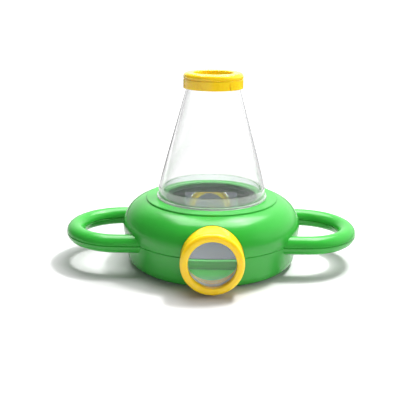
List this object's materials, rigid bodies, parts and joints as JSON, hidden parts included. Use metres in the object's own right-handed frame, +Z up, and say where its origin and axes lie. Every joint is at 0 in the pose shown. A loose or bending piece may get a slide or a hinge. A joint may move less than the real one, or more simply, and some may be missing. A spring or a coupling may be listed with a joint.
{
  "type": "two-way bug viewer",
  "caption": "Clear conical insect chamber with a lens cap on a round base with loop handles; a front eyepiece looks at a slanted mirror under the chamber floor.",
  "frame": {"origin": "centre of the flat base face, on the axis of the chamber", "axes": "+Z up along the chamber's axis, -Y towards the eyepiece, X along the two handles"},
  "size_m": [0.214, 0.1402, 0.1392],
  "materials": {
    "green_plastic": "glossy moulded green plastic",
    "yellow_plastic": "glossy moulded yellow plastic",
    "clear_chamber": "clear moulded plastic, polished",
    "clear_lens": "clear moulded plastic lens, polished",
    "mirror_sheet": "silvered flat mirror sheet",
    "foam_tape": "white foam mounting tape",
    "screw_steel": "zinc-plated steel"
  },
  "bodies": {
    "base": {"upper_shell": "green_plastic", "lower_shell": "green_plastic", "shell_screws": "screw_steel", "handle_screws": "screw_steel", "mirror_bracket": "green_plastic", "mirror_tape": "foam_tape", "mirror": "mirror_sheet", "front_bezel": "yellow_plastic", "front_lens": "clear_lens", "front_lens_ring": "yellow_plastic"},
    "dish": {"chamber_dish": "clear_chamber"},
    "cone": {"chamber_cone": "clear_chamber"},
    "cap": {"cap_ring": "yellow_plastic", "top_lens": "clear_lens", "top_lens_ring": "yellow_plastic"}
  },
  "joints": [
    {"name": "chamber_lift", "type": "slide", "parent": "base", "child": "dish", "axis": [0, 0, 1], "range_m": [0, 0.04]},
    {"name": "cone_lift", "type": "slide", "parent": "dish", "child": "cone", "axis": [0, 0, 1], "range_m": [0, 0.04]},
    {"name": "cap_pull", "type": "slide", "parent": "cone", "child": "cap", "axis": [0, 0, 1], "range_m": [0, 0.03]}
  ]
}
